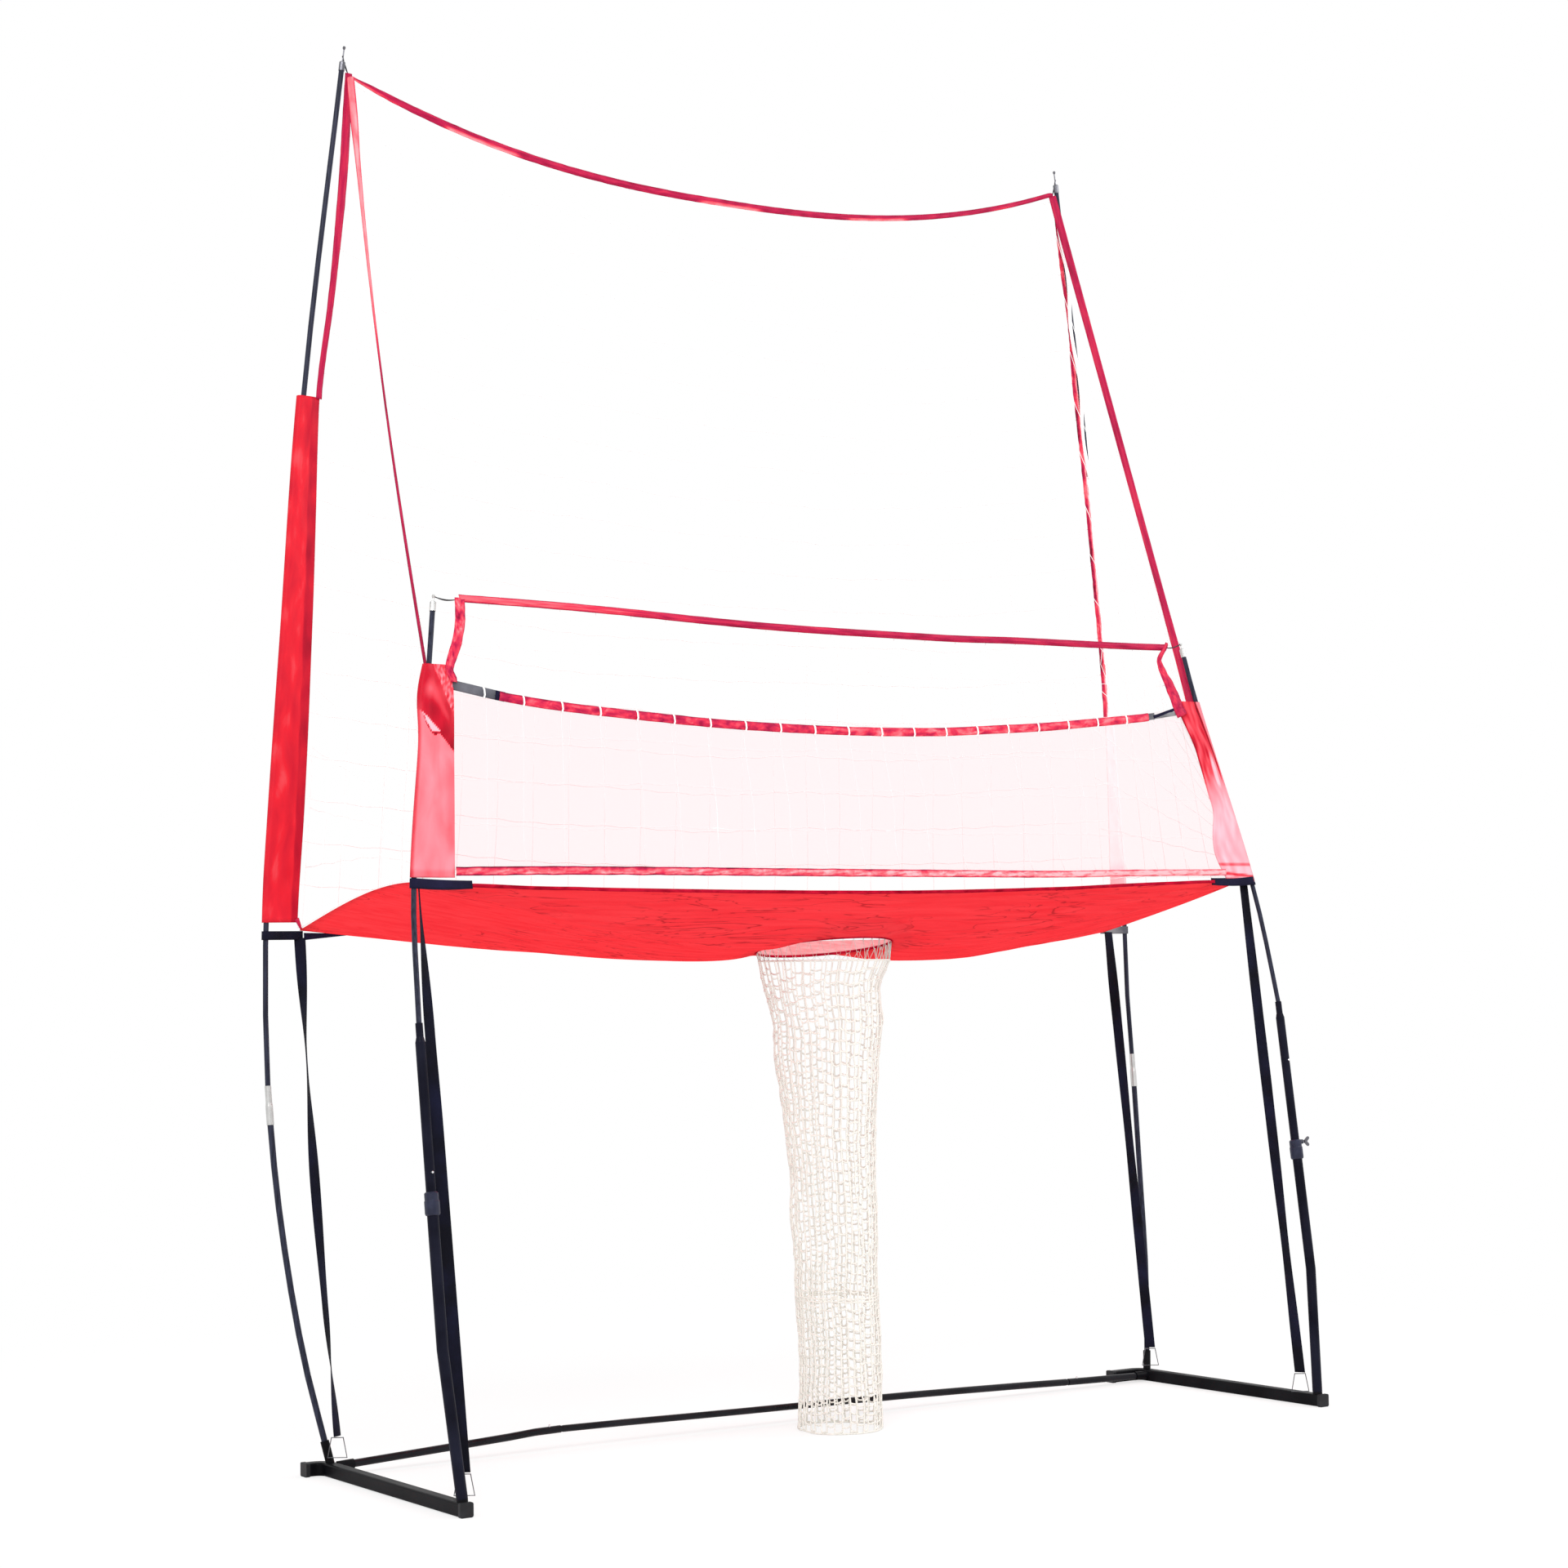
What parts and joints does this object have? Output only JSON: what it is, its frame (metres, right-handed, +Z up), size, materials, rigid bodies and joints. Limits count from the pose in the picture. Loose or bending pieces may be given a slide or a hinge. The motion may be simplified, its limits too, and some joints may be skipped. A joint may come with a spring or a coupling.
{
  "type": "volleyball practice net",
  "caption": "Catch net for volleyball setting practice: tall back net, lower front net on telescoping poles, and a sloping tray whose hole leads into a net tube to the ground.",
  "frame": {"origin": "on the floor, under the middle of the net's bounding box", "axes": "+Z up, +X to the right along the nets, -Y towards the player, who stands in front of the lower net"},
  "size_m": [2.6482, 0.8302, 3.3696],
  "materials": {
    "foot_steel": "black enamel on square steel tube",
    "cap_plastic": "black moulded plastic",
    "tube_steel": "dark navy-black enamel on round steel tube",
    "collar_plastic": "dark blue-grey moulded plastic",
    "screw_steel": "bright plated steel",
    "rod_glass_fibre": "smooth black glass fibre",
    "tip_metal": "plain light metal",
    "webbing": "black-navy woven webbing",
    "tray_nylon": "bright red nylon with a slight sheen",
    "sleeve_nylon": "red nylon, crimson beyond its seam",
    "panel_mesh": "fine red mesh that shows through",
    "tape_nylon": "crimson woven tape",
    "net_cord": "white cord"
  },
  "bodies": {
    "frame": {"back_net": "net_cord", "back_net_top_tape": "tape_nylon", "chute_net": "net_cord", "ground_tube_left": "tube_steel", "ground_tube_middle": "tube_steel", "ground_tube_right": "tube_steel", "left_back_corner_loop": "webbing", "left_back_ferrule": "tip_metal", "left_back_lower_pole": "rod_glass_fibre", "left_back_sleeve": "sleeve_nylon", "left_back_strap": "webbing", "left_back_strap_ring": "tip_metal", "left_back_tip": "tip_metal", "left_back_upper_pole": "rod_glass_fibre", "left_foot": "foot_steel", "left_foot_front_cap": "cap_plastic", "left_foot_rear_cap": "cap_plastic", "left_front_collar": "collar_plastic", "left_front_outer_tube": "tube_steel", "left_front_strap": "webbing", "left_front_strap_ring": "tip_metal", "left_side_net": "net_cord", "left_side_tape": "tape_nylon", "right_back_corner_loop": "webbing", "right_back_ferrule": "tip_metal", "right_back_lower_pole": "rod_glass_fibre", "right_back_sleeve": "sleeve_nylon", "right_back_strap": "webbing", "right_back_strap_ring": "tip_metal", "right_back_tip": "tip_metal", "right_back_upper_pole": "rod_glass_fibre", "right_foot": "foot_steel", "right_foot_front_cap": "cap_plastic", "right_foot_rear_cap": "cap_plastic", "right_front_collar": "collar_plastic", "right_front_outer_tube": "tube_steel", "right_front_strap": "webbing", "right_front_strap_ring": "tip_metal", "right_side_net": "net_cord", "right_side_tape": "tape_nylon", "tray": "tray_nylon"},
    "left_front_pole": {"left_front_middle_tube": "tube_steel", "left_front_rod": "rod_glass_fibre", "left_front_tip": "tip_metal", "left_front_corner_loop": "webbing", "left_front_sleeve": "sleeve_nylon", "front_net": "net_cord", "front_net_top_tape": "tape_nylon", "front_panel": "panel_mesh"},
    "left_thumbscrew": {"left_front_thumbscrew": "screw_steel"},
    "left_pole_button": {"left_front_button": "tip_metal"},
    "left_ground_button": {"ground_button_left": "tip_metal"},
    "right_front_pole": {"right_front_middle_tube": "tube_steel", "right_front_rod": "rod_glass_fibre", "right_front_tip": "tip_metal", "right_front_corner_loop": "webbing", "right_front_sleeve": "sleeve_nylon"},
    "right_thumbscrew": {"right_front_thumbscrew": "screw_steel"},
    "right_pole_button": {"right_front_button": "tip_metal"},
    "right_ground_button": {"ground_button_right": "tip_metal"}
  },
  "joints": [
    {"name": "left_pole_slide", "type": "slide", "parent": "frame", "child": "left_front_pole", "axis": [0, 0.1387, 0.9903], "range_m": [0, 0.25]},
    {"name": "left_thumbscrew_turn", "type": "hinge", "parent": "frame", "child": "left_thumbscrew", "pos_m": [-1.2625, -0.30923, 0.669], "axis": [0.5708, 0.8211, 0], "range_deg": [0, 360]},
    {"name": "left_pole_button_press", "type": "slide", "parent": "left_front_pole", "child": "left_pole_button", "axis": [0, 0.9903, -0.1387], "range_m": [0, 0.004], "stiffness_N_per_m": 800},
    {"name": "left_ground_button_press", "type": "slide", "parent": "frame", "child": "left_ground_button", "axis": [0, 0, -1], "range_m": [0, 0.004], "stiffness_N_per_m": 800},
    {"name": "right_pole_slide", "type": "slide", "parent": "frame", "child": "right_front_pole", "axis": [0, 0.1387, 0.9903], "range_m": [0, 0.25]},
    {"name": "right_thumbscrew_turn", "type": "hinge", "parent": "frame", "child": "right_thumbscrew", "pos_m": [1.2625, -0.30923, 0.669], "axis": [1, 0, 0], "range_deg": [0, 360]},
    {"name": "right_pole_button_press", "type": "slide", "parent": "right_front_pole", "child": "right_pole_button", "axis": [0, 0.9903, -0.1387], "range_m": [0, 0.004], "stiffness_N_per_m": 800},
    {"name": "right_ground_button_press", "type": "slide", "parent": "frame", "child": "right_ground_button", "axis": [0, 0, -1], "range_m": [0, 0.004], "stiffness_N_per_m": 800}
  ],
  "couplings": [
    {"joint": "right_pole_slide", "follows": "left_pole_slide", "ratio": 1}
  ]
}
